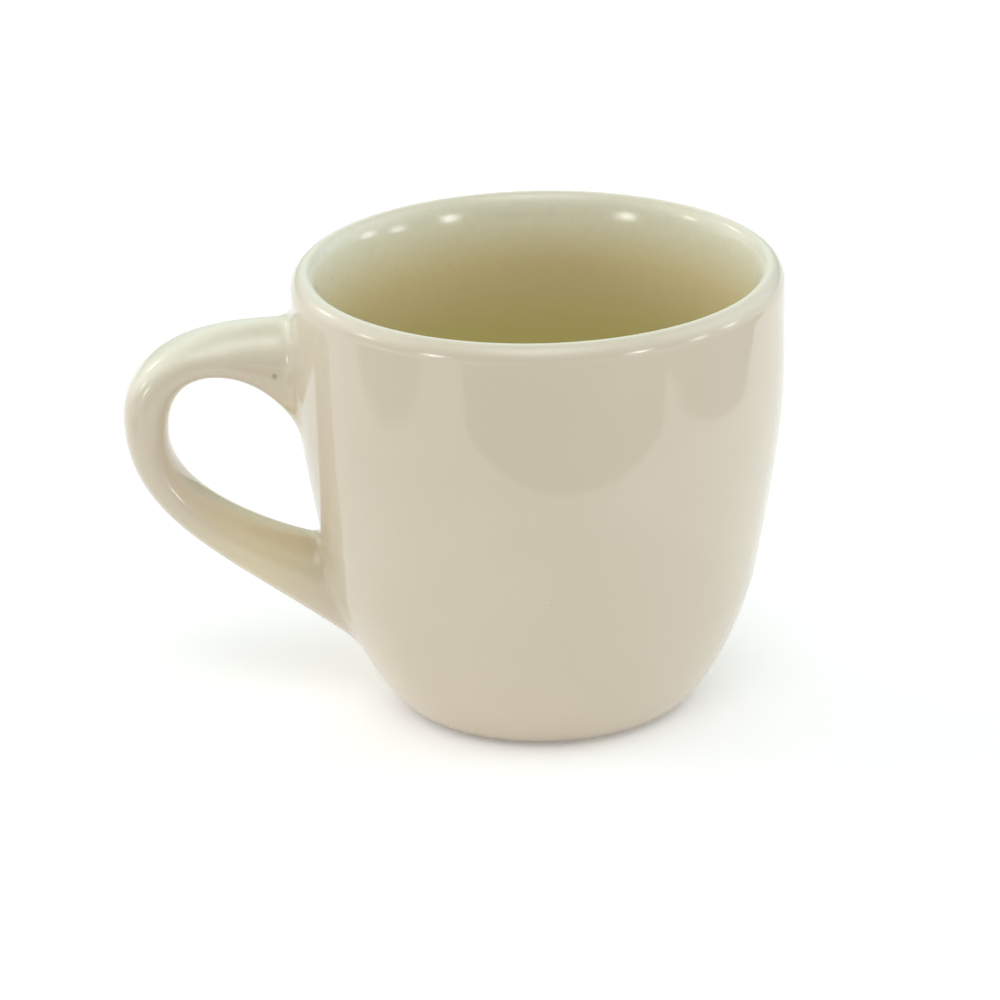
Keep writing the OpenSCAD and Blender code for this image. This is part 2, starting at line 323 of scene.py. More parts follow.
@dataclass
class LoopShape:
    """Sizes and outlines of the glazed handle, in millimetres.

    They are as the part's source has them, but for the beads, which are a little longer and softer
    here. Each pair of arms gives a curve's two inner control points, as shares of its run and its
    rise. A place on the loop is a number t from 0 at the upper root to 2 at the lower one, and the
    probes are small steps of it.
    """

    bowl: BowlShape
    reach: float = 22.3
    drop: float = 9.0
    height: float = 46.2
    bow_drop: float = 12.8
    grip: float = 5.8
    gap_drop: float = 7.0
    upper_root: float = 16.6
    lower_root: float = 15.3
    width: float = 10.2
    root_extra_width: float = 1.4
    bead: float = 2.7
    bead_foot: float = 3.1
    bead_arm: float = 0.8
    root_in: float = 0.8
    fullness: float = 2.4
    flare_share: float = 0.5
    widen_share: float = 0.35
    gap_start_share: float = 0.65
    gap_bow_share: float = 0.4
    root_search_share: float = 0.6
    buried_share: float = 0.1
    buried: float = 2.4
    outer_upper_arms: Arms = ((0.42, -0.05), (1, 0.16))
    outer_lower_arms: Arms = ((0, 0.43), (0.467, 0.6))
    inner_flare_arms: Arms = ((0.04, 0.14), (0.34, 1))
    inner_upper_arms: Arms = ((0.6, 0), (1, 0.33))
    inner_lower_arms: Arms = ((0, 0.49), (0.44, 0.8))
    search_steps: int = 30
    probe: float = 0.02
    fine_probe: float = 0.005

    @cached_property
    def bends(self) -> dict[str, Bend]:
        """Curves of the loop's outer and inner outline."""
        top = (self.bowl.hip[1] + self.bowl.height) / 2 - self.drop + self.height / 2
        low = top - self.height
        bow = (self.bowl.rim_radius + self.reach, top - self.bow_drop)
        grip_radius = bow[0] - self.grip
        gap_bow = (grip_radius, bow[1] - self.grip * self.gap_bow_share)
        upper_low = self._root_point(top - self.upper_root)
        lower_high = self._root_point(low + self.lower_root)
        gap_start = (mix(upper_low, (grip_radius, 0), self.gap_start_share)[0], top - self.gap_drop)
        return {
            "outer upper": Bend.spanned(self._root_point(top), bow, self.outer_upper_arms),
            "outer lower": Bend.spanned(bow, self._root_point(low), self.outer_lower_arms),
            "inner flare": Bend.spanned(upper_low, gap_start, self.inner_flare_arms),
            "inner upper": Bend.spanned(gap_start, gap_bow, self.inner_upper_arms),
            "inner lower": Bend.spanned(gap_bow, lower_high, self.inner_lower_arms),
        }

    def _root_point(self, height: float) -> Pair:
        """Return the point inside the wall at which a curve of the loop ends."""
        return self.bowl.wall_radius(height) - self.root_in, height

    def _buried(self, point: Pair, beyond: float) -> Pair:
        """Return a point that runs on level into the wall beyond the end of the loop."""
        return point[0] - beyond * self.buried / self.buried_share, point[1]

    def outer(self, t: float) -> Pair:
        """Return the outer outline at t.

        Args:
            t: Place on the loop. Below 0 and over 2 it runs on into the wall.

        Returns:
            Distance from the axis, and height.
        """
        upper, lower = self.bends["outer upper"], self.bends["outer lower"]
        if t < 0:
            return self._buried(upper.start, -t)
        if t > 2:
            return self._buried(lower.end, t - 2)
        return upper.at(t) if t < 1 else lower.at(t - 1)

    def inner(self, t: float) -> Pair:
        """Return the inner outline at t.

        Args:
            t: Place on the loop. Below 0 and over 2 it runs on into the wall.

        Returns:
            Distance from the axis, and height.
        """
        flare, lower = self.bends["inner flare"], self.bends["inner lower"]
        if t < 0:
            return self._buried(flare.start, -t)
        if t > 2:
            return self._buried(lower.end, t - 2)
        if t < self.flare_share:
            return flare.at(t / self.flare_share)
        if t < 1:
            return self.bends["inner upper"].at((t - self.flare_share) / (1 - self.flare_share))
        return lower.at(t - 1)

    def _fuller(self, value: float) -> float:
        """Return a sine or cosine changed for the full, rounded section."""
        return math.copysign(abs(value) ** (2 / self.fullness), value)

    def middle(self, t: float) -> Vector:
        """Return the middle of the section at t."""
        run, rise = mix(self.outer(t), self.inner(t), 0.5)
        return Vector((-run, 0, rise))

    def skin(self, t: float, turn: float) -> Vector:
        """Return a point of the glazed section.

        Args:
            t: Place on the loop.
            turn: Angle round the section from its outer side, in radians.

        Returns:
            The point, in millimetres.
        """
        outer, inner = self.outer(t), self.inner(t)
        across = unit(outer[0] - inner[0], outer[1] - inner[1])
        half = math.dist(outer, inner) / 2
        near = max(0.0, 1 - max(min(t, 2 - t), 0.0) / self.widen_share)
        width = self.width + self.root_extra_width * near * near
        push = self._fuller(math.cos(turn)) * half
        middle = mix(outer, inner, 0.5)
        side = self._fuller(math.sin(turn)) * width / 2
        return Vector((-(middle[0] + push * across[0]), side, middle[1] + push * across[1]))

    def _t(self, share: float, root: Root) -> float:
        """Return the place on the loop at a share of the way from one root."""
        return share if root is Root.UPPER else 2 - share

    def root_share(self, turn: float, root: Root) -> float:
        """Return the share of the loop at which one line of the skin leaves the wall.

        Args:
            turn: Angle round the handle's section, in radians.
            root: End of the loop.

        Returns:
            The share, counted from that root.
        """
        low, high = -self.buried_share, self.root_search_share
        for _ in range(self.search_steps):
            share = (low + high) / 2
            point = self.skin(self._t(share, root), turn)
            if math.hypot(point.x, point.y) < self.bowl.wall_radius(point.z):
                low = share
            else:
                high = share
        return high

    def bead_share(self, turn: float, root: Root) -> float:
        """Return the share of the loop at which the bead on one line of the skin begins.

        Args:
            turn: Angle round the handle's section, in radians.
            root: End of the loop.

        Returns:
            The share, counted from that root.
        """
        share = self.root_share(turn, root)
        here = self.skin(self._t(share, root), turn)
        ahead = self.skin(self._t(share + self.probe, root), turn)
        return share + self.bead * self.probe / (ahead - here).length

    def bead_line(self, turn: float, root: Root, steps: int) -> list[Vector]:
        """Return one line of the bead, from the handle's side round to the wall.

        Args:
            turn: Angle round the handle's section, in radians.
            root: End of the loop.
            steps: Number of steps along the line.

        Returns:
            Points whose first lies on the skin and whose last lies on the wall.
        """
        corner_t = self._t(self.root_share(turn, root), root)
        corner = self.skin(corner_t, turn)
        share = self.bead_share(turn, root)
        start = self.skin(self._t(share, root), turn)
        away = self.skin(self._t(share + self.fine_probe, root), turn)
        out = corner - self.middle(corner_t)
        level = Vector((corner.x, corner.y, 0)).normalized()
        along = (out - out.dot(level) * level).normalized()
        foot = self.bowl.on_wall(corner + self.bead_foot * along)
        normal = self.bowl.wall_normal(foot)
        spread = foot - corner
        flat = (spread - spread.dot(normal) * normal).normalized()
        into = (start - away).normalized()
        first = start + into * (corner - start).length * self.bead_arm
        second = foot - flat * spread.length * self.bead_arm
        line = []
        for k in range(steps + 1):
            s = k / steps
            near, far = (1 - s) ** 3 * start, s ** 3 * foot
            line.append(near + 3 * (1 - s) ** 2 * s * first + 3 * (1 - s) * s * s * second + far)
        return line


def deselect_all() -> None:
    """Leave nothing selected, in object mode."""
    if bpy.context.object is not None and bpy.context.object.mode != "OBJECT":
        bpy.ops.object.mode_set(mode="OBJECT")
    bpy.ops.object.select_all(action="DESELECT")


def apply_modifier(piece: bpy.types.Object, kind: str, **settings: object) -> None:
    """Add a modifier to a piece, set it up and apply it.

    Args:
        piece: The active object.
        kind: Type of the modifier.
        **settings: Values of its properties.
    """
    modifier = piece.modifiers.new(kind.title(), kind)
    for name, value in settings.items():
        setattr(modifier, name, value)
    bpy.ops.object.modifier_apply(modifier=modifier.name)


def choose_edges(piece: bpy.types.Object, wanted: Callable[[Vector], bool]) -> None:
    """Select, in edit mode, the edges whose both ends pass a test of their place.

    Args:
        piece: The piece, in edit mode.
        wanted: Test of a point's place, in metres.
    """
    bpy.ops.mesh.select_mode(type="EDGE")
    bpy.ops.mesh.select_all(action="DESELECT")
    mesh = bmesh.from_edit_mesh(piece.data)
    for edge in mesh.edges:
        edge.select_set(all(wanted(vert.co) for vert in edge.verts))
    bmesh.update_edit_mesh(piece.data)


def turned_shell(name: str, bends: list[Bend], steps: int, inward: float) -> bpy.types.Object:
    """Spin an outline round the bowl's axis and give it a thickness.

    Args:
        name: Name of the new piece.
        bends: Outline in millimetres.
        steps: Steps round the axis.
        inward: Thickness that goes inward from the outline, in metres, or outward where negative.

    Returns:
        The piece.
    """
    deselect_all()
    bpy.ops.curve.primitive_bezier_curve_add(location=(0, 0, 0))
    piece = bpy.context.object
    piece.name = piece.data.name = name
    piece.data.resolution_u = CURVE_STEPS
    spline = piece.data.splines[0]
    spline.bezier_points.add(len(bends) + 1 - len(spline.bezier_points))
    for knot in spline.bezier_points:
        knot.handle_left_type = knot.handle_right_type = "FREE"
    for before, bend, after in zip(spline.bezier_points, bends, spline.bezier_points[1:]):
        before.co = (bend.start[0] * MM, 0, bend.start[1] * MM)
        before.handle_right = (bend.start_arm[0] * MM, 0, bend.start_arm[1] * MM)
        after.handle_left = (bend.end_arm[0] * MM, 0, bend.end_arm[1] * MM)
        after.co = (bend.end[0] * MM, 0, bend.end[1] * MM)
    bpy.ops.object.convert(target="MESH")
    piece = bpy.context.object
    bpy.ops.object.mode_set(mode="EDIT")
    bpy.ops.mesh.select_all(action="SELECT")
    bpy.ops.mesh.spin(steps=steps, angle=math.tau, center=(0, 0, 0), axis=(0, 0, 1))
    bpy.ops.mesh.select_all(action="SELECT")
    bpy.ops.mesh.remove_doubles(threshold=MERGE_REACH)
    bpy.ops.mesh.normals_make_consistent(inside=False)
    bpy.ops.object.mode_set(mode="OBJECT")
    side = -1 if inward > 0 else 1
    apply_modifier(piece, "SOLIDIFY", thickness=abs(inward), offset=side, use_even_offset=True)
    return piece


class Sleeve:
    """A tube that is drawn out ring by ring, from a circle, with each line of it kept in order."""

    def __init__(self, name: str, first: list[Vector]) -> None:
        """Start the tube.

        Args:
            name: Name of the new piece.
            first: Points of its first ring, in millimetres.
        """
        deselect_all()
        bpy.ops.mesh.primitive_circle_add(
            vertices=len(first), radius=START_RADIUS, location=(0, 0, 0)
        )
        self.piece = bpy.context.object
        self.piece.name = self.piece.data.name = name
        lines = self.piece.data.attributes.new("line", "INT", "POINT")
        lines.data.foreach_set("value", list(range(len(first))))
        bpy.ops.object.mode_set(mode="EDIT")
        bpy.ops.mesh.select_all(action="SELECT")
        self._place(first)

    def _place(self, ring: list[Vector]) -> None:
        """Move the selected points to those of a ring.

        Args:
            ring: Its points, in millimetres, in the order of the tube's lines.
        """
        mesh = bmesh.from_edit_mesh(self.piece.data)
        lines = mesh.verts.layers.int["line"]
        for vert in mesh.verts:
            if vert.select:
                vert.co = ring[vert[lines]] * MM
        bmesh.update_edit_mesh(self.piece.data)

    def draw_to(self, ring: list[Vector]) -> None:
        """Extrude the open end of the tube to a ring, in millimetres."""
        bpy.ops.mesh.extrude_region_move(TRANSFORM_OT_translate={"value": (0, 0, MM)})
        self._place(ring)

    def close(self) -> bpy.types.Object:
        """Close both ends to a point and turn the faces outward.

        Returns:
            The piece.
        """
        for _ in range(2):
            bpy.ops.mesh.select_mode(type="VERT")
            bpy.ops.mesh.extrude_region_move(TRANSFORM_OT_translate={"value": (0, 0, 0)})
            bpy.ops.mesh.merge(type="CENTER")
            bpy.ops.mesh.select_all(action="DESELECT")
            bpy.ops.mesh.select_non_manifold()
        bpy.ops.mesh.select_all(action="SELECT")
        bpy.ops.mesh.normals_make_consistent(inside=False)
        bpy.ops.object.mode_set(mode="OBJECT")
        return self.piece


class NodeTree:
    """A tree of nodes, wired by short calls."""

    def __init__(self, tree: bpy.types.NodeTree) -> None:
        """Take over a tree that holds its first nodes."""
        self.tree = tree
        self.coordinates = tree.nodes.new("ShaderNodeTexCoord")

    def add(self, kind: str, inputs: dict[str | int, object], **settings: object) -> bpy.types.Node:
        """Add a node.

        Args:
            kind: Type of the node.
            inputs: A value or the output of another node, for each named or numbered input.
            **settings: Values of the node's properties.

        Returns:
            The node.
        """
        node = self.tree.nodes.new(kind)
        for name, value in settings.items():
            setattr(node, name, value)
        for name, value in inputs.items():
            self.wire(node.inputs[name], value)
        return node

    def wire(self, socket: bpy.types.NodeSocket, value: object) -> None:
        """Link an output to a socket, or set its value.

        Args:
            socket: Input of a node.
            value: Output of another node, or a number, colour or vector.
        """
        if isinstance(value, bpy.types.NodeSocket):
            self.tree.links.new(value, socket)
        else:
            socket.default_value = value

    def count(self, operation: str, first: object, second: object) -> bpy.types.NodeSocket:
        """Return a sum, product, power or other operation on two numbers."""
        return self.add("ShaderNodeMath", {0: first, 1: second}, operation=operation).outputs["Value"]

    def reckon(
        self, operation: str, result: str, inputs: dict[str | int, object]
    ) -> bpy.types.NodeSocket:
        """Return the named result of an operation on vectors."""
        return self.add("ShaderNodeVectorMath", inputs, operation=operation).outputs[result]


@dataclass(frozen=True)
class Relief:
    """A fine relief: cycles per metre, detail, depth in metres, strength and raggedness."""

    scale: float
    detail: float
    depth: float
    strength: float
    raggedness: float = 0.5


class Finish(NodeTree):
    """The nodes of one material of a piece."""

    def __init__(self, name: str) -> None:
        """Make the material, with its shader and its place on the piece.

        Args:
            name: Name of the material.
        """
        self.material = bpy.data.materials.new(name)
        self.material.use_nodes = True
        super().__init__(self.material.node_tree)
        self.shader = self.tree.nodes["Principled BSDF"]
        self.place = self.coordinates.outputs["Object"]

    def noise(
        self, scale: float, detail: float = 2.0, raggedness: float = 0.5
    ) -> bpy.types.NodeSocket:
        """Return smooth noise, with scale in cycles per metre."""
        inputs = {"Vector": self.place, "Scale": scale, "Detail": detail, "Roughness": raggedness}
        return self.add("ShaderNodeTexNoise", inputs).outputs["Fac"]

    def between(
        self, value: object, low: float, high: float, to_low: float, to_high: float
    ) -> bpy.types.NodeSocket:
        """Return a value mapped smoothly from one range to another."""
        inputs = {"Value": value, "From Min": low, "From Max": high, "To Min": to_low, "To Max": to_high}
        return self.add("ShaderNodeMapRange", inputs, interpolation_type="SMOOTHSTEP").outputs["Result"]

    def cloud(
        self, scale: float, low: float, high: float, detail: float = 2.0
    ) -> bpy.types.NodeSocket:
        """Return smooth noise that wanders from one value to another."""
        return self.between(self.noise(scale, detail), *NOISE_SPAN, low, high)

    def blend(self, share: object, first: object, second: object) -> bpy.types.NodeSocket:
        """Return a colour at a share of the way from the first to the second."""
        # The node has sockets for each data type: 6, 7 and 2 are the colours
        node = self.add("ShaderNodeMix", {0: share, 6: first, 7: second}, data_type="RGBA")
        return node.outputs[2]

    def bump(self, relief: Relief, under: bpy.types.NodeSocket | None = None) -> bpy.types.NodeSocket:
        """Return the direction of the surface with a relief.

        Args:
            relief: The relief.
            under: Direction of the surface with a coarser relief, on which this one lies.

        Returns:
            The direction's output.
        """
        height = self.noise(relief.scale, relief.detail, relief.raggedness)
        inputs = {"Height": height, "Strength": relief.strength, "Distance": relief.depth}
        if under is not None:
            inputs["Normal"] = under
        return self.add("ShaderNodeBump", inputs).outputs["Normal"]

    def away_from(self, spot: Place) -> bpy.types.NodeSocket:
        """Return the distance from a spot, in metres."""
        return self.reckon("DISTANCE", "Value", {0: self.place, 1: spot})

    def near(self, spot: Place, radius: float, ragged: float) -> bpy.types.NodeSocket:
        """Return 1 within a ragged spot and 0 outside it.

        Args:
            spot: Its middle, in metres.
            radius: Its radius, in metres.
            ragged: How far its edge strays, in metres.

        Returns:
            The mask's output.
        """
        # Noise has its middle at a half, so twice the straying adds the straying itself on average
        inputs = {0: self.noise(FRAY_SCALE), 1: ragged * 2, 2: self.away_from(spot)}
        stray = self.add("ShaderNodeMath", inputs, operation="MULTIPLY_ADD").outputs["Value"]
        edge = radius + ragged
        return self.between(stray, edge * FRAY_SPAN[0], edge * FRAY_SPAN[1], 1.0, 0.0)


def rgb(red: float, green: float, blue: float) -> Paint:
    """Return an opaque linear colour."""
    return red, green, blue, 1.0


@dataclass(frozen=True)
class IvoryGlaze:
    """Clear glaze over an ivory body: glossy, a little uneven, with a few fine iron specks.

    It is palest on the lip, where it ran thin and where light from above is painted in, and olive and
    darker deeper inside the cup, partly where it pooled and partly as painted shade. The spans of the
    pale lip, the run and the pool with its painted shade are stretches of the way from the lip's outer
    foot into the cup, in metres.
    """

    name: str = "ivory_glaze"
    body: Paint = rgb(0.64, 0.555, 0.435)
    drifted: Paint = rgb(0.622, 0.54, 0.418)
    # Pale lip colour: glaze that ran thin, with painted light from above; it is also the painted light
    # on top of the handle
    thin_and_top_lit: Paint = rgb(0.79, 0.77, 0.62)
    # Olive colours inside the cup: partly glaze that pooled, partly painted shade that deepens towards
    # the bottom; run also paints the shade at the handle's roots
    run: Paint = rgb(0.735, 0.622, 0.355)
    pooled_and_shaded: Paint = rgb(0.60, 0.53, 0.215)
    speck: Paint = rgb(0.40, 0.33, 0.22)
    thin_and_lit_span: Pair = (0.8 * MM, 3.8 * MM)
    run_and_shade_span: Pair = (3.0 * MM, 13.0 * MM)
    pool_and_shade_span: Pair = (13.5 * MM, 22.5 * MM)
    drift_scale: float = 42.0
    drift_span: Pair = (0.35, 0.65)
    mottle_scale: float = 900.0
    mottle_detail: float = 3.0
    mottle_share: float = 0.12
    speck_scale: float = 190.0
    speck_edge: Pair = (0.02, 0.05)
    speck_chance: Pair = (0.78, 0.8)
    speck_share: float = 0.3
    gloss: float = 0.07
    gloss_range: Pair = (0.7, 1.5)
    gloss_scale: float = 70.0
    gloss_detail: float = 3.0
    refraction: float = 1.5
    ripple: Relief = Relief(150.0, 1, 0.4 * MM, 0.12)
    grain: Relief = Relief(1100.0, 2, 0.05 * MM, 0.04)

    def material(self) -> bpy.types.Material:
        """Make the finish.

        Returns:
            The material.
        """
        nodes = Finish(self.name)
        mottle = nodes.cloud(self.mottle_scale, 0.0, self.mottle_share, self.mottle_detail)
        colour = nodes.blend(mottle, self._tones(nodes), self.drifted)
        smooth, dull = self.gloss * self.gloss_range[0], self.gloss * self.gloss_range[1]
        rough = nodes.cloud(self.gloss_scale, smooth, dull, self.gloss_detail)
        nodes.wire(nodes.shader.inputs["Base Color"], self._marks(nodes, colour))
        nodes.wire(nodes.shader.inputs["Roughness"], rough)
        nodes.wire(nodes.shader.inputs["Normal"], nodes.bump(self.grain, nodes.bump(self.ripple)))
        nodes.shader.inputs["IOR"].default_value = self.refraction
        return nodes.material

    def _tones(self, nodes: Finish) -> bpy.types.NodeSocket:
        """Return the colour, which drifts over the body and changes over the lip into the cup, with
        painted light on the lip and painted shade deeper in the cup.

        Args:
            nodes: The nodes of the finish.

        Returns:
            The colour's output.
        """
        drift = nodes.between(nodes.noise(self.drift_scale), *self.drift_span, 0.0, 1.0)
        outer = nodes.blend(drift, self.body, self.drifted)
        inward = nodes.add("ShaderNodeAttribute", {}, attribute_name=INWARD).outputs["Fac"]
        # Painted shade: darker and more olive deeper in the cup, after the painted light on the lip
        run = nodes.between(inward, *self.run_and_shade_span, 0.0, 1.0)
        pool_and_shade = nodes.between(inward, *self.pool_and_shade_span, 0.0, 1.0)
        inner = nodes.blend(pool_and_shade, nodes.blend(run, self.thin_and_top_lit, self.run), self.pooled_and_shaded)
        return nodes.blend(nodes.between(inward, *self.thin_and_lit_span, 0.0, 1.0), outer, inner)

    def _marks(self, nodes: Finish, colour: bpy.types.NodeSocket) -> bpy.types.NodeSocket:
        """Return the colour with its fine specks, one in a few cells of a scatter.

        Args:
            nodes: The nodes of the finish.
            colour: The colour without specks.

        Returns:
            The colour's output.
        """
        inputs = {"Vector": nodes.place, "Scale": self.speck_scale}
        cells = nodes.add("ShaderNodeTexVoronoi", inputs)
        dot = nodes.between(cells.outputs["Distance"], *self.speck_edge, 1.0, 0.0)
        pick = nodes.add("ShaderNodeSeparateColor", {"Color": cells.outputs["Color"]}).outputs["Red"]
        chosen = nodes.between(pick, *self.speck_chance, 0.0, self.speck_share)
        return nodes.blend(nodes.count("MULTIPLY", dot, chosen), colour, self.speck)


@dataclass(frozen=True)
class HandleGlaze(IvoryGlaze):
    """The same glaze on the handle, with painted shade at its two roots and painted light on top of its
    loop.

    It has one larger iron speck by the upper root. Places and heights are in metres.
    """

    name: str = "ivory_glaze_of_handle"
    # Painted shade: the colour turns towards run near the two roots, where handle and bowl shade each
    # other
    root_shade_spots: tuple[Place, ...] = ((-0.032, 0.0, 0.037), (-0.036, 0.0, 0.023))
    root_shade_span: Pair = (3.0 * MM, 15.0 * MM)
    root_shade_share: float = 0.5
    # Painted light from above: high parts of the handle that face up take the pale lip colour
    top_light_heights: Pair = (0.0405, 0.0465)
    top_light_facing: Pair = (0.0, 0.75)
    top_light_share: float = 0.8
    iron_spot: Place = (-0.0343, -0.005, 0.0472)
    iron_radius: float = 0.42 * MM
    iron_fray: float = 0.15 * MM

    def _tones(self, nodes: Finish) -> bpy.types.NodeSocket:
        """Return the colour, with painted shade at the roots and painted light on top of the loop.

        Args:
            nodes: The nodes of the finish.

        Returns:
            The colour's output.
        """
        colour = super()._tones(nodes)
        # Painted shade near each root
        for place in self.root_shade_spots:
            away = nodes.away_from(place)
            root_shade = nodes.between(away, *self.root_shade_span, self.root_shade_share, 0.0)
            colour = nodes.blend(root_shade, colour, self.run)
        # Painted light on top of the loop
        return nodes.blend(self._painted_top_light(nodes), colour, self.thin_and_top_lit)

    def _painted_top_light(self, nodes: Finish) -> bpy.types.NodeSocket:
        """Return a mask of painted light from above: what is high on the handle and faces up.

        Args:
            nodes: The nodes of the finish.

        Returns:
            The mask's output.
        """
        normal = nodes.add("ShaderNodeNewGeometry", {}).outputs["Normal"]
        facing = nodes.add("ShaderNodeSeparateXYZ", {"Vector": normal}).outputs["Z"]
        height = nodes.add("ShaderNodeSeparateXYZ", {"Vector": nodes.place}).outputs["Z"]
        upward = nodes.between(facing, *self.top_light_facing, 0.0, self.top_light_share)
        return nodes.count("MULTIPLY", upward, nodes.between(height, *self.top_light_heights, 0.0, 1.0))

    def _marks(self, nodes: Finish, colour: bpy.types.NodeSocket) -> bpy.types.NodeSocket:
        """Return the colour with its fine specks and the larger one."""
        iron = nodes.near(self.iron_spot, self.iron_radius, self.iron_fray)
        return nodes.blend(iron, super()._marks(nodes, colour), self.speck)


@dataclass(frozen=True)
class BareClay:
    """Dense fired clay without glaze: dull, finely sandy, and a little grey where it rubs."""

    name: str = "bare_clay"
    clean: Paint = rgb(0.50, 0.42, 0.31)
    rubbed: Paint = rgb(0.34, 0.30, 0.25)
    wear_scale: float = 420.0
    wear_detail: float = 4.0
    wear_raggedness: float = 0.6
    wear_span: Pair = (0.48, 0.7)
    wear_share: float = 0.8
    grain_scale: float = 5200.0
    grain_span: Pair = (0.6, 0.72)
    grain_share: float = 0.5
    roughness: float = 0.62
    roughness_spread: float = 0.1
    roughness_scale: float = 1500.0
    roughness_detail: float = 3.0
    sand: Relief = Relief(3600.0, 3, 0.03 * MM, 0.5, 0.6)

    def material(self) -> bpy.types.Material:
        """Make the finish.

        Returns:
            The material.
        """
        nodes = Finish(self.name)
        rubbing = nodes.noise(self.wear_scale, self.wear_detail, self.wear_raggedness)
        wear = nodes.between(rubbing, *self.wear_span, 0.0, self.wear_share)
        colour = nodes.blend(wear, self.clean, self.rubbed)
        grains = nodes.between(nodes.noise(self.grain_scale), *self.grain_span, 0.0, self.grain_share)
        colour = nodes.blend(grains, colour, self.rubbed)
        low, high = self.roughness - self.roughness_spread, self.roughness + self.roughness_spread
        rough = nodes.cloud(self.roughness_scale, low, high, self.roughness_detail)
        nodes.wire(nodes.shader.inputs["Base Color"], colour)
        nodes.wire(nodes.shader.inputs["Roughness"], rough)
        nodes.wire(nodes.shader.inputs["Normal"], nodes.bump(self.sand))
        return nodes.material


@dataclass(frozen=True)
class Backdrop:
    """Smooth white card of the studio floor, lit a little from below."""

    name: str = "white_card"
    paper: Paint = rgb(0.93, 0.93, 0.93)
    shade: Paint = rgb(0.91, 0.91, 0.91)
    cloud_scale: float = 3.0
    roughness: float = 0.9
    backlight: Paint = rgb(0.17, 0.165, 0.165)

    def material(self) -> bpy.types.Material:
        """Make the finish.

        Returns:
            The material.
        """
        nodes = Finish(self.name)
        cloud = nodes.cloud(self.cloud_scale, 0.0, 1.0)
        nodes.wire(nodes.shader.inputs["Base Color"], nodes.blend(cloud, self.paper, self.shade))
        nodes.shader.inputs["Roughness"].default_value = self.roughness
        nodes.shader.inputs["Emission Color"].default_value = self.backlight
        nodes.shader.inputs["Emission Strength"].default_value = 1.0
        return nodes.material


@dataclass(frozen=True)
class Felt:
    """Dull grey felt of the cards."""

    name: str = "grey_felt"
    dye: Paint = rgb(0.19, 0.19, 0.19)
    nap: Paint = rgb(0.23, 0.23, 0.23)
    nap_scale: float = 800.0

    def material(self) -> bpy.types.Material:
        """Make the finish.

        Returns:
            The material.
        """
        nodes = Finish(self.name)
        fuzz = nodes.cloud(self.nap_scale, 0.0, 1.0)
        nodes.wire(nodes.shader.inputs["Base Color"], nodes.blend(fuzz, self.dye, self.nap))
        nodes.shader.inputs["Roughness"].default_value = 1.0
        nodes.shader.inputs["Specular IOR Level"].default_value = 0.0
        return nodes.material


def dress(piece: bpy.types.Object, material: bpy.types.Material, slot: str | None = None) -> None:
    """Give a piece its only material, and smooth shading when it is a new piece.

    Args:
        piece: The piece.
        material: Its finish.
        slot: Any name, given only for a new piece, which is then shaded smooth.
    """
    piece.data.materials.clear()
    piece.data.materials.append(material)
    if slot is not None:
        deselect_all()
        piece.select_set(True)
        bpy.context.view_layer.objects.active = piece
        bpy.ops.object.shade_smooth_by_angle(angle=SHARP_ANGLE)


@dataclass
class Coat:
    """What the coats of glaze share: their finished pieces, and how these are dressed."""

    pieces: list[bpy.types.Object] = field(default_factory=list, init=False)

    def dress(self, glaze: bpy.types.Material) -> None:
        """Give each piece its glaze and let it ride on the cup.

        Args:
            glaze: The finish of all its pieces.
        """
        for piece in self.pieces:
            dress(piece, glaze, "glaze")
            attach(piece, "root")


@dataclass
class BowlCoat(Coat):
    """The glaze of the bowl and that of its foot recess, with sizes in millimetres."""

    shape: BowlShape
    steps: int = 176
    edge_radius: float = 0.1
    edge_reach: float = 0.004
    edge_segments: int = 3

    def build(self) -> None:
        """Spin both coats and round the edge at the dry foot."""
        outline = self.shape.outside() + self.shape.lip() + self.shape.inside()
        coat = turned_shell("glaze_of_bowl", outline, self.steps, self.shape.glaze * MM)
        edge = outline[0].start
        reach = self.edge_reach * MM
        bpy.ops.object.mode_set(mode="EDIT")

        def on_edge(place: Vector) -> bool:
            """Tell whether a point lies on the outer line of the coat's edge."""
            radius = math.hypot(place.x, place.y)
            return abs(radius - edge[0] * MM) < reach and abs(place.z - edge[1] * MM) < reach

        choose_edges(coat, on_edge)
        bpy.ops.mesh.bevel(
            offset=self.edge_radius * MM, segments=self.edge_segments, affect="EDGES"
        )
        bpy.ops.object.mode_set(mode="OBJECT")
        self._measure_inward(coat)
        outline = self.shape.recess()
        recess = turned_shell("glaze_of_recess", outline, self.steps, -self.shape.glaze * MM)
        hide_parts("bowl_glaze")
        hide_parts("recess_glaze")
        self.pieces = [coat, recess]

    def _measure_inward(self, coat: bpy.types.Object) -> None:
        """Write how far each point of the coat lies from the lip's outer foot, over its crest.

        Args:
            coat: The coat of the bowl.
        """
        ways = []
        for vert in coat.data.vertices:
            radius, height = math.hypot(vert.co.x, vert.co.y) / MM, vert.co.z / MM
            within = radius < self.shape.wall_radius(height) - self.shape.lip_crest
            fall = self.shape.height - height
            ways.append(max(0.0, self.shape.lip_outer_height + (fall if within else -fall)) * MM)
        coat.data.attributes.new(INWARD, "FLOAT", "POINT").data.foreach_set("value", ways)


